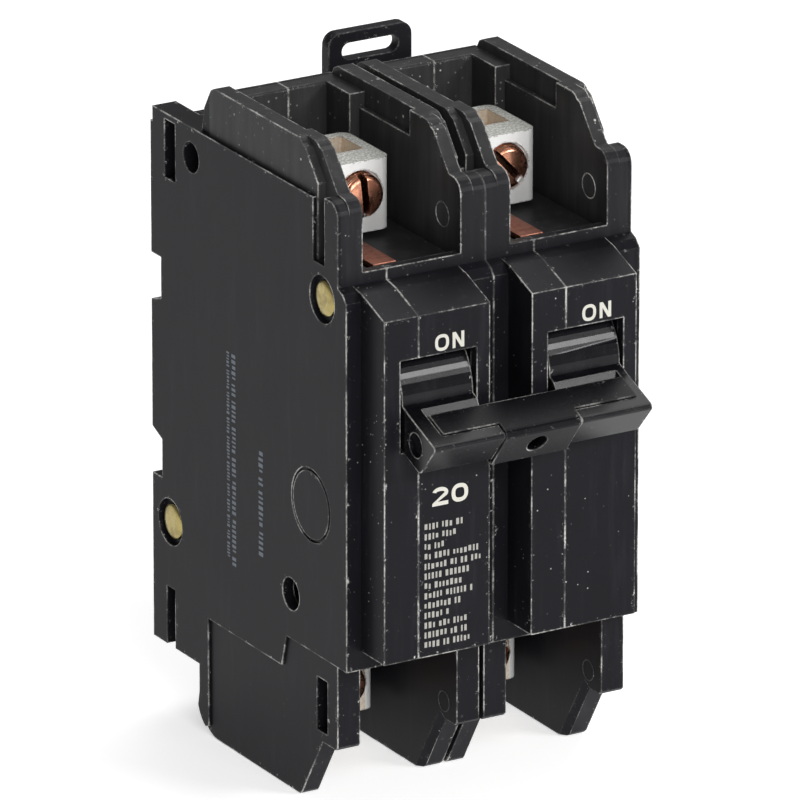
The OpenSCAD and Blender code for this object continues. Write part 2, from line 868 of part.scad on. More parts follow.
module rail_latch() {
    r = 2;
    x0 = latch_x - latch_w / 2;
    x1 = latch_x + latch_w / 2;
    y1 = latch_y + latch_t;
    color(bakelite) difference() {
        union() {
            block([x0, latch_y, 17.9], [x1, y1, latch_top - r]);
            block([x0 + r, latch_y, latch_top - r - 1], [x1 - r, y1, latch_top]);
            for (x = [x0 + r, x1 - r]) post(latch_y, y1, x, latch_top - r, r);
            slab(7, 18.4) polygon([[1.3, 17.2], [1.3, 20.5], [y1, 20.5], [y1, 15.4], [2.6, 15.4]]);
            block([11.1, -2.5, 24.4], [14.3, latch_y + 0.5, 27]);
        }
        for (side = [-1, 1]) post(0, 9, latch_x + side * latch_slot_x, 44.2, 1.3);
        block([latch_x - latch_slot_x, 0, 42.9], [latch_x + latch_slot_x, 9, 45.5]);
    }
}

module latch_spring() {
    color(steel) translate([latch_x, -0.3, 27.1]) coil(1.6, 10.7, 7, 0.3);
}

left_cover();
left_base();
right_cover();
right_base();
left_handle();
right_handle();
handle_tie();
arm_pins();
left_contact_arm();
right_contact_arm();
left_main_spring();
right_main_spring();
left_cradle();
right_cradle();
left_armature();
right_armature();
armature_pins();
trip_bar();
bimetals();
magnet_yokes();
braids();
line_straps();
load_straps();
upper_lugs();
lower_lugs();
upper_left_screw();
upper_right_screw();
lower_left_screw();
lower_right_screw();
arc_plates();
arc_cards();
calibration_screws();
case_rivets();
rail_latch();
latch_spring();
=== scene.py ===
"""A two-pole rail circuit breaker in Blender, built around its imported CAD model.

Lengths in this file are in millimetres, and MM turns them into metres, unless a comment says otherwise.
"""
import json
import math
import random

import bmesh
import bpy
from mathutils import Matrix, Vector


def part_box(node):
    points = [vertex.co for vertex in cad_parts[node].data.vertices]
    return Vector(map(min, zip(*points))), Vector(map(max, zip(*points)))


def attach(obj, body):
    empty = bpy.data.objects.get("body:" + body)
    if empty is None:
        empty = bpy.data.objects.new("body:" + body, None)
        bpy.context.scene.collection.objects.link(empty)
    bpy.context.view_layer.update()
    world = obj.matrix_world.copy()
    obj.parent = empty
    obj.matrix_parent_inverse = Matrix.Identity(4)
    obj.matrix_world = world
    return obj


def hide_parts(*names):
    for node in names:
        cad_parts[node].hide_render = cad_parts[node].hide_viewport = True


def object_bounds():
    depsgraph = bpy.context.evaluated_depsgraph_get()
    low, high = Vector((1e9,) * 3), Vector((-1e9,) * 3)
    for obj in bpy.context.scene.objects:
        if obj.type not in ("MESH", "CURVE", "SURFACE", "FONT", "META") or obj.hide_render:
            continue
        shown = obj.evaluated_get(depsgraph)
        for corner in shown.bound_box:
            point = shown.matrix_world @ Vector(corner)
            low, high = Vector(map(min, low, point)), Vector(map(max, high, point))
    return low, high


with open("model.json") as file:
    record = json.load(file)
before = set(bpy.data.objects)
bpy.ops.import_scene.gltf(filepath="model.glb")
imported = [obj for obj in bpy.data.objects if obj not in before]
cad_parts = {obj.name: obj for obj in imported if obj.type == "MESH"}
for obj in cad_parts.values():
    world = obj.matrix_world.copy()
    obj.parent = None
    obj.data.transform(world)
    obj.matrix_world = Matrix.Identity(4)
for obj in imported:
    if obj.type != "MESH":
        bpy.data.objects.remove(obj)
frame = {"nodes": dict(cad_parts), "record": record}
cad_box = [list(corner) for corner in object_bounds()]

MM = 0.001
POLE = 25.4
random.seed(7)


def node_box(name):
    lo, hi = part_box(name)
    return Vector(lo) / MM, Vector(hi) / MM


# ---------------------------------------------------------------- node graphs

class Graph:
    """A material's node tree, with short names for the nodes that are used over and over."""

    def __init__(self, name):
        self.material = bpy.data.materials.new(name)
        self.material.use_nodes = True
        self.tree = self.material.node_tree
        self.shader = self.tree.nodes["Principled BSDF"]
        coords = self.tree.nodes.new("ShaderNodeTexCoord")
        self.point = self.vector("MULTIPLY", coords.outputs["Object"], (1 / MM, 1 / MM, 1 / MM))

    def node(self, kind, **settings):
        made = self.tree.nodes.new(kind)
        for key, value in settings.items():
            setattr(made, key, value)
        return made

    def feed(self, socket, value):
        """Links a socket to another node's output, or sets its number; None leaves it alone."""
        if isinstance(value, bpy.types.NodeSocket):
            self.tree.links.new(value, socket)
        elif value is not None:
            socket.default_value = value

    def vector(self, operation, a, b=None):
        made = self.node("ShaderNodeVectorMath", operation=operation)
        self.feed(made.inputs[0], a)
        self.feed(made.inputs[1], b)
        return made.outputs["Value"] if operation == "DOT_PRODUCT" else made.outputs[0]

    def math(self, operation, a, b=None, clamp=False):
        made = self.node("ShaderNodeMath", operation=operation, use_clamp=clamp)
        self.feed(made.inputs[0], a)
        self.feed(made.inputs[1], b)
        return made.outputs[0]

    def noise(self, scale, detail=3.0, rough=0.55, stretch=None, shift=0.0):
        at = self.point
        if stretch:
            at = self.vector("MULTIPLY", at, stretch)
        if shift:
            at = self.vector("ADD", at, (shift, shift * 0.7, -shift))
        made = self.node("ShaderNodeTexNoise")
        self.feed(made.inputs["Vector"], at)
        self.feed(made.inputs["Scale"], scale)
        self.feed(made.inputs["Detail"], detail)
        self.feed(made.inputs["Roughness"], rough)
        return made.outputs["Fac"]

    def specks(self, scale, size, keep, shift):
        """1 inside small round specks: one per cell, in the share of cells that keep says."""
        made = self.node("ShaderNodeTexVoronoi")
        self.feed(made.inputs["Vector"], self.vector("ADD", self.point, (shift, -shift, shift * 0.3)))
        self.feed(made.inputs["Scale"], scale)
        split = self.node("ShaderNodeSeparateColor")
        self.feed(split.inputs[0], made.outputs["Color"])
        radius = self.math("MULTIPLY", split.outputs[1], size)
        inside = self.step(self.math("SUBTRACT", radius, made.outputs["Distance"]), 0.0, size * 0.35)
        return self.math("MULTIPLY", inside, self.math("LESS_THAN", split.outputs[0], keep))

    def step(self, value, low, high):
        """0 below low, 1 above high, and smooth between them."""
        made = self.node("ShaderNodeMapRange", interpolation_type="SMOOTHSTEP")
        self.feed(made.inputs["Value"], value)
        self.feed(made.inputs["From Min"], low)
        self.feed(made.inputs["From Max"], high)
        return made.outputs["Result"]

    def between(self, value, low, high):
        """A value from 0 to 1, stretched to run from low to high."""
        made = self.node("ShaderNodeMapRange")
        self.feed(made.inputs["Value"], value)
        self.feed(made.inputs["To Min"], low)
        self.feed(made.inputs["To Max"], high)
        return made.outputs["Result"]

    def mix(self, share, a, b):
        """Colour a where share is 0 and colour b where it is 1."""
        made = self.node("ShaderNodeMix", data_type="RGBA")
        self.feed(made.inputs[0], share)
        for socket, value in ((made.inputs[6], a), (made.inputs[7], b)):
            self.feed(socket, (*value, 1.0) if isinstance(value, tuple) else value)
        return made.outputs[2]

    def times(self, *values):
        out = values[0]
        for v in values[1:]:
            out = self.math("MULTIPLY", out, v)
        return out

    def most(self, *values):
        out = values[0]
        for v in values[1:]:
            out = self.math("MAXIMUM", out, v)
        return out

    def coordinate(self, axis):
        split = self.node("ShaderNodeSeparateXYZ")
        self.feed(split.inputs[0], self.point)
        return split.outputs[axis]

    def facing(self, direction):
        """How far the surface faces a fixed direction of the object."""
        geometry = self.node("ShaderNodeNewGeometry")
        return self.vector("DOT_PRODUCT", geometry.outputs["Normal"], direction)

    def edges(self, width, low=0.10, high=0.36):
        """1 along the part's outward edges, from how near its other faces lie beneath the surface."""
        under = self.node("ShaderNodeAmbientOcclusion", inside=True, only_local=True, samples=8)
        self.feed(under.inputs["Distance"], width * MM)
        return self.step(self.math("SUBTRACT", 1.0, under.outputs["AO"]), low, high)

    def hollows(self, reach):
        """1 deep in grooves and slots."""
        above = self.node("ShaderNodeAmbientOcclusion", only_local=True, samples=8)
        self.feed(above.inputs["Distance"], reach * MM)
        return self.step(self.math("SUBTRACT", 1.0, above.outputs["AO"]), 0.18, 0.55)

    def bump(self, height, strength, distance, under=None):
        made = self.node("ShaderNodeBump")
        self.feed(made.inputs["Height"], height)
        self.feed(made.inputs["Strength"], strength)
        self.feed(made.inputs["Distance"], distance * MM)
        self.feed(made.inputs["Normal"], under)
        return made.outputs[0]

    def finish(self, color, rough, normal=None, metal=0.0, specular=0.5):
        s = self.shader.inputs
        self.feed(s["Base Color"], (*color, 1.0) if isinstance(color, tuple) else color)
        self.feed(s["Roughness"], rough)
        self.feed(s["Normal"], normal)
        s["Metallic"].default_value = metal
        s["Specular IOR Level"].default_value = specular
        return self.material


def scaled(color, by):
    return tuple(c * by for c in color)


# The terminals' space above the ledge, where dust lies: it fades in over each pair of values
DUSTY_Z, DUSTY_Y = (28.0, 32.0), (-56.0, -48.0)
DUSTY_REAR_Y, DUSTY_SIDE_X = -14.0, 24.8
DUST_FILM, WORN_PALE = (0.30, 0.30, 0.29), (0.62, 0.61, 0.58)


def plastic(name, base, rough, wear, dust, texture, specular=0.085):
    """Moulded plastic: cloudy sheen, fine grain, pale worn edges, scuffs and dust."""
    g = Graph(name)
    cloud = g.noise(0.09, detail=4.0, rough=0.6)
    grain = g.noise(5.0, detail=4.0, rough=0.7)
    streak = g.noise(0.5, rough=0.6, stretch=(1.0, 1.0, 0.12), shift=11.0)
    body = g.mix(cloud, scaled(base, 0.8), scaled(base, 1.25))
    body = g.mix(g.times(g.step(streak, 0.5, 0.8), 0.35), body, tuple(c * 2.1 + 0.008 for c in base))
    patchy = g.step(g.noise(0.16, detail=6.0, rough=0.75, shift=3.0), 0.44, 0.6)
    fine = g.step(g.noise(3.2, rough=0.7, shift=8.0), 0.35, 0.6)
    worn = g.times(g.edges(0.31), g.between(patchy, 0.1, 1.0), g.between(fine, 0.35, 1.0), wear)
    chipped = g.step(g.noise(0.95, detail=6.0, rough=0.8, shift=57.0), 0.60, 0.66)
    chips = g.times(g.edges(1.0, 0.05, 0.3), chipped, wear)
    dusty = g.times(
        g.step(g.coordinate(2), *DUSTY_Z), g.step(g.coordinate(1), *DUSTY_Y),
        g.math("LESS_THAN", g.math("ABSOLUTE", g.coordinate(0)), DUSTY_SIDE_X),
        g.math("LESS_THAN", g.coordinate(1), DUSTY_REAR_Y),
    )
    body = g.mix(g.times(dusty, g.between(streak, 0.04, 0.16)), body, DUST_FILM)
    density = g.step(g.noise(0.12, detail=2.0, rough=0.6, shift=31.0), 0.46, 0.62)
    large, small = g.specks(0.8, 0.27, 0.34, 5.0), g.specks(1.7, 0.24, 0.12, 17.0)
    specks = g.most(
        g.times(large, g.between(dusty, 0.06, 1.0), g.between(density, 0.1, 1.0)),
        g.times(small, g.between(density, 0.1, 0.9)),
    )
    scuff = g.times(
        g.step(g.noise(1.7, detail=5.0, rough=0.8, stretch=(1.0, 1.0, 0.35), shift=23.0), 0.66, 0.78),
        g.step(g.noise(0.16, detail=2.0, rough=0.5, shift=40.0), 0.52, 0.66), 0.45,
    )
    pale = g.most(worn, chips, g.times(specks, dust), g.times(scuff, dust))
    color = g.mix(pale, body, WORN_PALE)
    sheen = g.between(cloud, rough - 0.05, rough + 0.07)
    roughness = g.math("ADD", sheen, g.times(pale, 0.25), clamp=True)
    normal = g.bump(cloud, 0.25, 0.12, under=g.bump(grain, texture, 0.03))
    return g.finish(color, roughness, normal, specular=specular)


def metal(name, base, dull, rough, grain=(1.0, 1.0, 1.0), tarnish=0.4, stain=None, hollow_shade=0.0):
    """Bare or plated metal: drawn grain, tarnish in patches, brighter edges, and painted shade darkening the
    hollows where asked.
    """
    g = Graph(name)
    patch = g.step(g.noise(0.5, detail=4.0, rough=0.65), 0.42, 0.68)
    lines = g.noise(3.5, rough=0.6, stretch=grain, shift=5.0)
    color = g.mix(g.times(patch, tarnish), base, dull)
    color = g.mix(g.times(g.step(lines, 0.4, 0.75), 0.3), color, scaled(base, 0.7))
    color = g.mix(g.times(g.edges(0.3), 0.5), color, tuple(min(1.0, c * 1.25) for c in base))
    if stain:
        stained = g.step(g.noise(0.9, detail=5.0, rough=0.7, shift=19.0), 0.55, 0.7)
        color = g.mix(g.times(stained, 0.6), color, stain)
    # Painted shade: grooves and slots are darkened nearly to black, as if in shadow.
    if hollow_shade:
        color = g.mix(g.times(g.hollows(1.6), hollow_shade), color, (0.02, 0.012, 0.01))
    sheen = g.between(patch, rough - 0.06, rough + 0.12)
    roughness = g.math("ADD", sheen, g.times(lines, 0.08), clamp=True)
    return g.finish(color, roughness, g.bump(lines, 0.12, 0.02), metal=1.0)


LUG_X = 13.0                # a lug's middle, from its pole's left side
WIRE_HOLE_HALF = 3.7
WIRE_HOLE_FRONT_Y, WIRE_HOLE_REAR_Y = (-33.4, -33.0), -25.9


def lug_metal():
    """Extruded aluminium: sawn, speckled top, clean pale sides, yellowed inside the wire hole."""
    g = Graph("lug_aluminium")
    cut = g.step(g.facing((0.0, 0.0, 1.0)), 0.6, 0.9)
    coarse = g.noise(2.4, detail=5.0, rough=0.75)
    pits = g.most(g.specks(1.9, 0.2, 0.3, 2.0), g.specks(3.2, 0.22, 0.25, 9.0))
    side = g.mix(g.noise(0.35, rough=0.6), (0.86, 0.86, 0.84), (0.96, 0.96, 0.95))
    top = g.mix(g.step(coarse, 0.4, 0.66), (0.34, 0.34, 0.31), (0.8, 0.8, 0.76))
    top = g.mix(g.times(pits, 0.6), top, (0.2, 0.2, 0.18))
    color = g.mix(cut, side, top)
    x = g.coordinate(0)
    pole_x = g.math("ADD", x, g.times(g.math("LESS_THAN", x, 0.0), POLE))
    inside = g.times(
        g.math("LESS_THAN", g.math("ABSOLUTE", g.math("SUBTRACT", pole_x, LUG_X)), WIRE_HOLE_HALF),
        g.step(g.coordinate(1), *WIRE_HOLE_FRONT_Y), g.math("SUBTRACT", 1.0, cut),
        g.math("LESS_THAN", g.coordinate(1), WIRE_HOLE_REAR_Y),
    )
    stain = g.mix(g.step(coarse, 0.35, 0.7), (0.82, 0.74, 0.58), (0.66, 0.47, 0.34))
    color = g.mix(g.times(inside, 0.85), color, stain)
    edge = g.times(g.edges(0.4), g.step(g.noise(1.6, detail=4.0, rough=0.7, shift=7.0), 0.45, 0.6))
    color = g.mix(g.times(edge, 0.7), color, (0.25, 0.24, 0.22))
    roughness = g.between(cut, 0.36, 0.6)
    return g.finish(color, roughness, g.bump(coarse, g.between(cut, 0.08, 0.5), 0.06), metal=0.3)


def braid_metal():
    """Woven copper braid: two crossing sets of strands."""
    g = Graph("braid_copper")
    strands = 9.0
    z, x = g.coordinate(2), g.coordinate(0)
    one = g.math("SINE", g.times(g.math("ADD", z, x), strands))
    two = g.math("SINE", g.times(g.math("SUBTRACT", z, x), strands))
    weave = g.between(g.math("MAXIMUM", one, two), 0.0, 1.0)
    color = g.mix(weave, (0.22, 0.08, 0.04), (0.72, 0.36, 0.22))
    return g.finish(color, g.between(g.noise(0.6), 0.3, 0.5), g.bump(weave, 0.7, 0.1), metal=1.0)


def ink(name, base, body):
    """Pad-printed ink, thin enough that the plastic shows through in pinholes."""
    g = Graph(name)
    gaps = g.step(g.noise(3.8, detail=4.0, rough=0.7), 0.62, 0.72)
    color = g.mix(g.times(gaps, 0.8), g.mix(g.noise(0.8), base, scaled(base, 0.88)), body)
    return g.finish(color, g.between(gaps, 0.5, 0.4), g.bump(g.noise(4.0), 0.15, 0.02), specular=0.4)


def fibre():
    """Pressed card, with its strands along one way."""
    g = Graph("card_fibre")
    strands = g.noise(1.4, detail=5.0, rough=0.7, stretch=(1.0, 0.25, 1.0))
    color = g.mix(strands, (0.22, 0.08, 0.05), (0.46, 0.2, 0.13))
    return g.finish(color, g.between(strands, 0.6, 0.8), g.bump(strands, 0.3, 0.05), specular=0.3)


LEVER_BLACK = (0.004, 0.004, 0.0055)

MATERIALS = {
    "case_black": plastic(
        "case_black", (0.0085, 0.0085, 0.0110), rough=0.38, wear=1.0, dust=0.8, texture=0.10),
    "handle_black": plastic(
        "handle_black", LEVER_BLACK, rough=0.20, wear=0.7, dust=0.3, texture=0.04, specular=0.2),
    "tie_black": plastic(
        "tie_black", LEVER_BLACK, rough=0.26, wear=0.7, dust=0.3, texture=0.05, specular=0.1),
    "latch_black": plastic(
        "latch_black", (0.012, 0.012, 0.015), rough=0.42, wear=0.6, dust=0.4, texture=0.12),
    "pin_steel": metal(
        "pin_steel", (0.62, 0.62, 0.61), (0.42, 0.4, 0.37), rough=0.28, grain=(0.1, 1.0, 1.0)),
    "contact_copper": metal(
        "contact_copper", (0.78, 0.42, 0.27), (0.45, 0.22, 0.14), rough=0.3, grain=(1.0, 0.1, 1.0)),
    "spring_steel": metal("spring_steel", (0.58, 0.58, 0.57), (0.34, 0.33, 0.31), rough=0.3),
    "mechanism_steel": metal(
        "mechanism_steel", (0.62, 0.61, 0.56), (0.5, 0.46, 0.33), rough=0.34, grain=(1.0, 1.0, 0.15)),
    "bimetal_strip": metal(
        "bimetal_strip", (0.66, 0.63, 0.57), (0.5, 0.42, 0.3), rough=0.3, grain=(1.0, 1.0, 0.1)),
    "strap_copper": metal(
        "strap_copper", (0.30, 0.13, 0.09), (0.15, 0.06, 0.045), rough=0.42, grain=(0.15, 1.0, 1.0),
        tarnish=0.6),
    # The screws get painted shade in their threads and slot, darkened nearly to black.
    "screw_copper": metal(
        "screw_copper", (0.60, 0.27, 0.17), (0.36, 0.13, 0.08), rough=0.24, tarnish=0.6,
        stain=(0.85, 0.55, 0.4), hollow_shade=0.95),
    "rivet_brass": metal(
        "rivet_brass", (0.38, 0.31, 0.12), (0.22, 0.17, 0.07), rough=0.28, tarnish=0.6,
        stain=(0.5, 0.44, 0.24)),
    "lug_aluminium": lug_metal(),
    "braid_copper": braid_metal(),
    "trip_bar_plastic": plastic(
        "trip_bar_plastic", (0.62, 0.6, 0.52), rough=0.45, wear=0.2, dust=0.1, texture=0.1),
    "card_fibre": fibre(),
    "marking_ink": ink("marking_ink", (0.60, 0.585, 0.52), (0.05, 0.05, 0.06)),
    "fine_ink": ink("fine_ink", (0.36, 0.35, 0.32), (0.05, 0.05, 0.06)),
    "faint_ink": ink("faint_ink", (0.12, 0.145, 0.18), (0.03, 0.03, 0.04)),
}


# ---------------------------------------------------------------- CAD nodes kept

def soften(o, width):
    """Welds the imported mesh, clears the lines inside flat faces and rounds the sharp edges."""
    weld = o.modifiers.new("weld", "WELD")
    weld.merge_threshold = 0.004 * MM
    flat = o.modifiers.new("flat", "DECIMATE")
    flat.decimate_type = "DISSOLVE"
    flat.angle_limit = math.radians(0.6)
    flat.delimit = {"SHARP"}
    bevel = o.modifiers.new("round", "BEVEL")
    bevel.width = width * MM
    bevel.segments = 2
    bevel.limit_method = "ANGLE"
    bevel.angle_limit = math.radians(34)
    bevel.miter_outer = "MITER_ARC"
    bevel.harden_normals = False
    normals = o.modifiers.new("normals", "WEIGHTED_NORMAL")
    normals.keep_sharp = True


for entry in frame["record"]["subparts"]:
    o = frame["nodes"][entry["node"]]
    o.data.materials.clear()
    o.data.materials.append(MATERIALS[entry["material_slot"]])

ROUNDED = {
    "left_cover": 0.22, "left_base": 0.22, "right_cover": 0.22, "right_base": 0.22,
    "left_handle": 0.25, "right_handle": 0.25, "handle_tie": 0.2, "upper_lugs": 0.2, "lower_lugs": 0.2,
    "rail_latch": 0.25, "line_straps": 0.1, "load_straps": 0.1,
}
for name, width in ROUNDED.items():
    soften(frame["nodes"][name], width)


# ---------------------------------------------------------------- pieces built here

def piece(name, verts, faces, slot, body, replaces=(), smooth=True, material=None):
    mesh = bpy.data.meshes.new(name)
    mesh.from_pydata([Vector(v) * MM for v in verts], [], faces)
    built = bmesh.new()
    built.from_mesh(mesh)
    bmesh.ops.recalc_face_normals(built, faces=built.faces)
    built.to_mesh(mesh)
    built.free()
    for f in mesh.polygons:
        f.use_smooth = smooth
    o = bpy.data.objects.new(name, mesh)
    bpy.context.scene.collection.objects.link(o)
    mesh.materials.append(MATERIALS[material or slot])
    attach(o, body)
    if replaces:
        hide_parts(*replaces)
    return o


def grid(rows, close_rows=False):
    """Quads between closed rings of equal length; close_rows joins the last ring to the first."""
    count, width = len(rows), len(rows[0])
    faces = []
    for i in range(count if close_rows else count - 1):
        a, b = i * width, ((i + 1) % count) * width
        for k in range(width):
            m = (k + 1) % width
            faces.append((a + k, a + m, b + m, b + k))
    return [v for ring in rows for v in ring], faces


def capped(rows):
    """A closed solid through rings of equal length, with a flat face on the first and the last."""
    verts, faces = grid(rows)
    width = len(rows[0])
    faces.append(tuple(range(width - 1, -1, -1)))
    faces.append(tuple(range(len(verts) - width, len(verts))))
    return verts, faces


def turned(profile, centre, around, wobble=None):
    """A solid turned about the X axis: profile is (distance along the axis, radius)."""
    rows = []
    for along, radius in profile:
        ring = []
        for k in range(around):
            a = 2 * math.pi * k / around
            r = radius * (1 + wobble(a) if wobble else 1)
            ring.append((centre[0] + along, centre[1] + r * math.cos(a), centre[2] + r * math.sin(a)))
        rows.append(ring)
    return capped(rows)


def joined(*solids):
    verts, faces = [], []
    for v, f in solids:
        base = len(verts)
        verts += v
        faces += [tuple(i + base for i in q) for q in f]
    return verts, faces


def tube(path, radius, around=10):
    """A round wire along a path, with closed ends."""
    rows = []
    side = None
    for i, p in enumerate(path):
        a, b = Vector(path[max(i - 1, 0)]), Vector(path[min(i + 1, len(path) - 1)])
        t = (b - a).normalized()
        side = side - t * side.dot(t) if side else t.orthogonal()
        side.normalize()
        up = t.cross(side)
        turns = [2 * math.pi * k / around for k in range(around)]
        rows.append([tuple(Vector(p) + radius * (math.cos(a) * side + math.sin(a) * up)) for a in turns])
    return capped(rows)


# Rivets: a rolled, slightly uneven head at each end of a plain shank
RIVETS = ((-49.0, 26.1), (-2.4, -24.3))     # y, z
SHANK_R, HEAD_R = 1.6, 2.85
RECESS = 0.9                                # a head's seat, in from its pole's side
HEAD_RIM = (                                # distance outwards, radius
    (0.0, HEAD_R - 0.06), (0.12, HEAD_R), (0.26, HEAD_R - 0.02), (0.42, HEAD_R - 0.16), (0.56, HEAD_R - 0.48),
    (0.66, HEAD_R - 1.0), (0.70, HEAD_R - 1.55), (0.69, HEAD_R - 2.1), (0.66, 0.25),
)


def rivet_head(x, y, z, outward, seed):
    phase = random.Random(seed).uniform(0, 6.28)
    return turned(
        [(outward * along, r) for along, r in HEAD_RIM], (x, y, z), 56,
        lambda a: 0.012 * math.sin(3 * a + phase) + 0.008 * math.sin(7 * a + 2 * phase),
    )


solids = []
for pole in (0, 1):
    x0 = (pole - 1) * POLE
    for y, z in RIVETS:
        solids.append(turned([(0.0, SHANK_R), (POLE - 2 * RECESS, SHANK_R)], (x0 + RECESS, y, z), 32))
        solids.append(rivet_head(x0 + RECESS, y, z, -1, 3 * pole + int(z)))
        solids.append(rivet_head(x0 + POLE - RECESS, y, z, 1, 5 * pole + int(z)))
piece("case_rivets_formed", *joined(*solids), "rivet_brass", "case", ["case_rivets"])


# Terminal screws: a true helical thread, a flat end with a rounded rim and a cut slot
SCREW_TURNS = {                             # which way each slot points, degrees
    "upper_left_screw": -6, "upper_right_screw": -42, "lower_left_screw": 25, "lower_right_screw": 70,
}
THREAD_PITCH, CREST_R, ROOT_R = 0.95, 3.47, 3.1
THREAD_START, UNTHREADED = 0.3, 0.9         # from the slotted end, and both ends together
SLOTTED_END = ((0.0, 2.62), (0.08, 2.86))   # distance from the slotted end, radius
FAR_END = ((-0.45, 2.6), (0.0, 2.35))       # distance from the far end, radius
SCREW_AROUND, SCREW_ALONG = 72, 84
SLOT_WIDTH, SLOT_LENGTH = 1.15, 9.0
SLOT_MIDDLE, SLOT_HEIGHT = 0.7, 2.2         # the cutter's middle and height, about the slotted end


def thread_radius(along, k):
    phase = (along / THREAD_PITCH + k / SCREW_AROUND + 0.2) % 1.0
    wave = 1 - abs(2 * phase - 1)
    wave = min(1.0, max(0.0, wave * 1.35 - 0.12))
    fade = min(1.0, (along - 0.2) / 0.5)
    return ROOT_R + (CREST_R - ROOT_R) * wave * fade


def slot_cutter(cx, y0, cz, turn):
    box = bmesh.new()
    bmesh.ops.create_cube(box, size=1.0)
    spin = Matrix.Rotation(math.radians(turn), 4, "Y")
    for v in box.verts:
        p = spin @ Vector((v.co.x * SLOT_WIDTH, 0, v.co.z * SLOT_LENGTH))
        y = y0 + SLOT_MIDDLE + v.co.y * SLOT_HEIGHT
        v.co = Vector(((cx + p.x) * MM, y * MM, (cz + p.z) * MM))
    bmesh.ops.recalc_face_normals(box, faces=box.faces)
    mesh = bpy.data.meshes.new("slot_cutter")
    box.to_mesh(mesh)
    box.free()
    cutter = bpy.data.objects.new("slot_cutter", mesh)
    bpy.context.scene.collection.objects.link(cutter)
    return cutter


def threaded_screw(name, turn):
    lo, hi = node_box(name)
    cx, cz = (lo.x + hi.x) / 2, (lo.z + hi.z) / 2
    length = hi.y - lo.y
    rings = [(along, [r] * SCREW_AROUND) for along, r in SLOTTED_END]
    for i in range(SCREW_ALONG + 1):
        along = THREAD_START + (length - UNTHREADED) * i / SCREW_ALONG
        rings.append((along, [thread_radius(along, k) for k in range(SCREW_AROUND)]))
    rings += [(length + back, [r] * SCREW_AROUND) for back, r in FAR_END]
    turns = [2 * math.pi * k / SCREW_AROUND for k in range(SCREW_AROUND)]
    rows = []
    for along, radii in rings:
        y = lo.y + along
        rows.append([(cx + r * math.cos(a), y, cz + r * math.sin(a)) for a, r in zip(turns, radii)])
    screw = piece(name + "_threaded", *capped(rows), "screw_copper", name, [name])

    cutter = slot_cutter(cx, lo.y, cz, turn)
    cut = screw.modifiers.new("slot", "BOOLEAN")
    cut.operation = "DIFFERENCE"
    cut.object = cutter
    cut.solver = "EXACT"
    bpy.context.view_layer.update()
    shaped = bpy.data.meshes.new_from_object(screw.evaluated_get(bpy.context.evaluated_depsgraph_get()))
    screw.modifiers.clear()
    uncut, cutter_mesh = screw.data, cutter.data
    screw.data = shaped
    bpy.data.meshes.remove(uncut)
    bpy.data.objects.remove(cutter)
    bpy.data.meshes.remove(cutter_mesh)
    shaped.set_sharp_from_angle(angle=math.radians(40))
    edge = screw.modifiers.new("round", "BEVEL")
    edge.width = 0.05 * MM
    edge.segments = 2
    edge.limit_method = "ANGLE"
    edge.angle_limit = math.radians(50)


for name, turn in SCREW_TURNS.items():
    threaded_screw(name, turn)


# The latch's coil spring: round wire, with ends whose turns lie on each other
SPRING_R, SPRING_WIRE_R, SPRING_TURNS = 1.6, 0.28, 5
CLOSED_TURNS, STEPS_PER_TURN = 1.25, 28


def coil_path(height):
    path = []
    total, pitch = SPRING_TURNS + 2 * CLOSED_TURNS, SPRING_WIRE_R * 2.02
    for i in range(int(total * STEPS_PER_TURN) + 1):
        t = i / STEPS_PER_TURN
        if t < CLOSED_TURNS:
            z = pitch * t
        elif t > total - CLOSED_TURNS:
            z = height - pitch * (total - t)
        else:
            open_height = height - 2 * pitch * CLOSED_TURNS
            z = pitch * CLOSED_TURNS + open_height * (t - CLOSED_TURNS) / SPRING_TURNS
        a = 2 * math.pi * t
        path.append(Vector((SPRING_R * math.cos(a), SPRING_R * math.sin(a), z)))
    return path


lo, hi = node_box("latch_spring")
centre = (lo + hi) / 2
foot = Vector((centre.x, centre.y, lo.z + SPRING_WIRE_R))
path = [p + foot for p in coil_path(hi.z - lo.z - 2 * SPRING_WIRE_R)]
piece("latch_spring_coil", *tube(path, SPRING_WIRE_R), "spring_steel", "case", ["latch_spring"])


# Printed marks are thin plates, sunk a hair into the face so that they never float
INK_PROUD, INK_SUNK = 0.02, 0.03
side_x, nose_y = node_box("left_cover")[0].xy


def plate(outline, place):
    """A thin plate from an outline; place(u, v, out) puts a point on the printed face."""
    n = len(outline)
    verts = [place(u, v, INK_PROUD) for u, v in outline] + [place(u, v, -INK_SUNK) for u, v in outline]
    faces = [tuple(range(n)), tuple(range(2 * n - 1, n - 1, -1))]
    faces += [(k, k + n, (k + 1) % n + n, (k + 1) % n) for k in range(n)]
    return verts, faces


def loop(path, width, place):
    """A flat band of even width round a closed path."""
    rows = []
    for i, p in enumerate(path):
        t = (Vector(path[(i + 1) % len(path)]) - Vector(path[i - 1])).normalized()
        side = Vector((-t.y, t.x)) * width / 2
        a, b = Vector(p) + side, Vector(p) - side
        rows.append([place(*a, INK_PROUD), place(*b, INK_PROUD), place(*b, -INK_SUNK), place(*a, -INK_SUNK)])
    return grid(rows, close_rows=True)


def on_front(x, z):
    """Places marks on the nose fronts, upright."""
    return lambda u, v, out: (x + u, nose_y - out, z + v)


def on_side(y, z):
    """Places marks on the left side, reading downwards."""
    return lambda u, v, out: (side_x - out, y + v, z - u)


def letter_o(x, width, height, stroke, place):
    rx, ry, steps = (width - stroke) / 2, (height - stroke) / 2, 56
    squareness = 2.5
    path = []
    for k in range(steps):
        c, q = math.cos(2 * math.pi * k / steps), math.sin(2 * math.pi * k / steps)
        path.append((x + rx * math.copysign(abs(c) ** (2 / squareness), c),
                     ry * math.copysign(abs(q) ** (2 / squareness), q)))
    return loop(path, stroke, place)


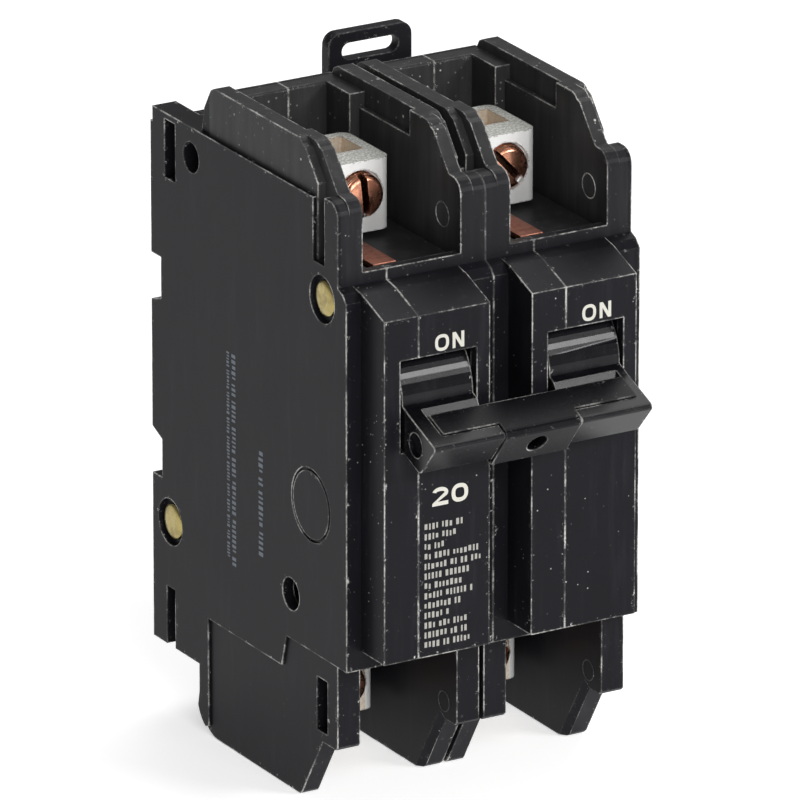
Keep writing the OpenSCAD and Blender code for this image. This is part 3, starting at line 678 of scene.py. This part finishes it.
def letter_n(x, width, height, stroke, place):
    left, right, top, bottom = x - width / 2, x + width / 2, height / 2, -height / 2
    stem, reach = stroke * 1.1, height * 0.36
    return plate([
        (left, bottom), (left, top), (left + stem, top), (right - stroke, bottom + reach),
        (right - stroke, top), (right, top), (right, bottom), (right - stem, bottom),
        (left + stroke, top - reach), (left + stroke, bottom),
    ], place)


def figure_2(x, width, height, stroke, place):
    left, right, bottom = x - width / 2, x + width / 2, -height / 2
    rx, ry = width / 2, height * 0.31
    bend = [math.radians(165 - 203 * k / 20) for k in range(21)]

    def arc(a, inset):
        return (x + (rx - inset) * math.cos(a), height / 2 - ry + (ry - inset) * math.sin(a))

    outline = [arc(a, 0) for a in bend]
    outline += [
        (left + stroke * 1.5, bottom + stroke), (right, bottom + stroke), (right, bottom), (left, bottom),
        (left, bottom + stroke * 0.7),
    ]
    outline += [arc(a, stroke) for a in reversed(bend)]
    return plate(outline, place)


ON_PLACES = {"left": (-11.62, 21.43), "right": (-11.62 + POLE, 21.55)}      # x, z
RATING_PLACE = (-11.56, -2.8)

for side, place in ON_PLACES.items():
    at = on_front(*place)
    word = joined(
        letter_o(-1.36, width=2.4, height=2.62, stroke=0.5, place=at),
        letter_n(1.45, width=2.0, height=2.5, stroke=0.5, place=at),
    )
    piece(f"print_on_{side}", *word, "marking_ink", "case", smooth=False)
at = on_front(*RATING_PLACE)
number = joined(
    figure_2(-1.7, width=2.75, height=2.9, stroke=0.62, place=at),
    letter_o(1.68, width=2.85, height=2.9, stroke=0.64, place=at),
)
piece("print_rating", *number, "marking_ink", "case", smooth=False)

# Fine print, as shares of a row's height
BLOCK_WIDTHS, BLOCK_GAP, WORD_GAP = (0.26, 0.5), 0.3, 0.43
WORD_BLOCKS = (2, 7)
SHORT_BELOW, SHORT_ABOVE = (0, 0, 0, 0.12), (0, 0, 0, 0.16)


def fine_print(name, rows, place, material):
    """Rows of small blocks grouped like words, which stand for fine print and spell nothing."""
    solids = []
    for at, length, tall in rows:
        along, left_in_word = 0.0, random.randint(*WORD_BLOCKS)
        while along < length:
            wide = random.uniform(*BLOCK_WIDTHS) * tall
            low = at - tall / 2 + random.choice(SHORT_BELOW) * tall
            high = at + tall / 2 - random.choice(SHORT_ABOVE) * tall
            end = along + wide
            solids.append(plate([(along, low), (end, low), (end, high), (along, high)], place))
            along += wide + BLOCK_GAP * tall
            left_in_word -= 1
            if not left_in_word:
                along += WORD_GAP * tall
                left_in_word = random.randint(*WORD_BLOCKS)
    piece(name, *joined(*solids), "marking_ink", "case", smooth=False, material=material)


# A row is its place across the lines, its length and its height
FRONT_LENGTHS = (6.4, 5.6, 3.0, 9.4, 9.9, 7.4, 6.0, 8.4, 6.1, 4.3, 6.9, 7.0, 8.2)
FRONT_PITCH, FRONT_HEIGHT = 1.565, 0.98
FRONT_ROWS = [(-FRONT_PITCH * i, length, FRONT_HEIGHT) for i, length in enumerate(FRONT_LENGTHS)]
SIDE_ROWS = [(0.0, 34.0, 1.15), (1.7, 33.0, 0.8)]
SIDE_CODE = [(0.0, 17.0, 1.3)]
fine_print("print_fine_rows", FRONT_ROWS, on_front(-15.95, -7.3), "fine_ink")
fine_print("print_side_rows", SIDE_ROWS, on_side(-22.2, 9.0), "faint_ink")
fine_print("print_side_code", SIDE_CODE, on_side(-30.4, -3.9), "faint_ink")


# Ejector marks: low rings on the inside of each pole's right barrier
MARK_X = 21.1                               # the barrier's inner face, from its pole's left side
MARKS = {"upper": (-48.3, 35.6, 1.9), "lower": (-48.9, -42.0, 1.6)}         # y, z, radius
MARK_WIDTH, MARK_PROUD, MARK_SUNK = 0.3, 0.07, 0.04


def ring_mark(name, x, y, z, radius):
    profile = [
        (MARK_SUNK, radius - MARK_WIDTH / 2), (-MARK_PROUD, radius - MARK_WIDTH * 0.2),
        (-MARK_PROUD, radius + MARK_WIDTH * 0.2), (MARK_SUNK, radius + MARK_WIDTH / 2),
    ]
    rows = []
    for k in range(64):
        a = 2 * math.pi * k / 64
        rows.append([(x + out, y + r * math.cos(a), z + r * math.sin(a)) for out, r in profile])
    piece(name, *grid(rows, close_rows=True), "case_black", "case")


for pole, side in enumerate(("left", "right")):
    for height, (y, z, radius) in MARKS.items():
        ring_mark(f"mark_{side}_{height}", (pole - 1) * POLE + MARK_X, y, z, radius)


# ---------------------------------------------------------------- camera, lights, floor

# The camera was fitted to the photograph's outline
LENS, SENSOR = 586.035, 36.0
AZIMUTH, ELEVATION = math.radians(-30.234), math.radians(20.089)
TARGET = Vector((-5.608, -38.0, 3.11)) * MM
DISTANCE = 1.957                            # metres

camera_data = bpy.data.cameras.new("camera")
camera_data.sensor_width = SENSOR
camera_data.lens = LENS
camera_data.clip_start, camera_data.clip_end = 0.05, 50.0
camera = bpy.data.objects.new("camera", camera_data)
bpy.context.scene.collection.objects.link(camera)
back = Vector((
    math.sin(AZIMUTH) * math.cos(ELEVATION), -math.cos(AZIMUTH) * math.cos(ELEVATION), math.sin(ELEVATION)))
camera.location = TARGET + back * DISTANCE
camera.rotation_mode = "QUATERNION"
camera.rotation_quaternion = (-back).to_track_quat("-Z", "Y")
bpy.context.scene.camera = camera
bpy.context.scene.view_settings.view_transform = "Standard"


def area_light(name, place, aim, size, power):
    """A white area light; places and sizes are in metres, power in watts."""
    data = bpy.data.lights.new(name, "AREA")
    data.shape = "RECTANGLE"
    data.size, data.size_y = size
    data.energy = power
    o = bpy.data.objects.new(name, data)
    bpy.context.scene.collection.objects.link(o)
    o.location = Vector(place)
    o.rotation_mode = "QUATERNION"
    o.rotation_quaternion = (Vector(aim) - Vector(place)).to_track_quat("-Z", "Y")


area_light("key", place=(0.60, -1.0, 0.56), aim=(0, -0.05, 0.01), size=(0.42, 0.20), power=6.5)
area_light("front_fill", place=(-0.25, -1.2, 0.6), aim=(0, -0.05, 0), size=(0.8, 0.5), power=8.5)
area_light("top", place=(0.5, 0.42, 0.95), aim=(0, -0.03, 0.02), size=(0.8, 0.8), power=5.6)

WORLD_STRENGTH = 0.22
world = bpy.data.worlds.new("studio")
world.use_nodes = True
world.node_tree.nodes["Background"].inputs["Color"].default_value = (1, 1, 1, 1)
world.node_tree.nodes["Background"].inputs["Strength"].default_value = WORLD_STRENGTH
bpy.context.scene.world = world

# The floor lies just below the object, in metres, and glows a little so that it stays white
FLOOR_HALF, FLOOR_GAP, FLOOR_GLOW = 12, 0.0002, 0.55
floor_mesh = bpy.data.meshes.new("floor")
corners = [(x * FLOOR_HALF, y * FLOOR_HALF, 0) for x, y in ((-1, -1), (1, -1), (1, 1), (-1, 1))]
floor_mesh.from_pydata(corners, [], [(0, 1, 2, 3)])
floor = bpy.data.objects.new("floor", floor_mesh)
floor.location.z = cad_box[0][2] - FLOOR_GAP
bpy.context.scene.collection.objects.link(floor)
sheet = Graph("floor_white")
tone = sheet.between(sheet.noise(0.004, detail=2.0, rough=0.5), 0.86, 0.9)
shade = sheet.node("ShaderNodeCombineColor")
for socket in shade.inputs[:3]:
    sheet.feed(socket, tone)
sheet.finish(shade.outputs[0], 0.7, specular=0.1)
sheet.shader.inputs["Emission Color"].default_value = (1, 1, 1, 1)
sheet.shader.inputs["Emission Strength"].default_value = FLOOR_GLOW
floor_mesh.materials.append(sheet.material)
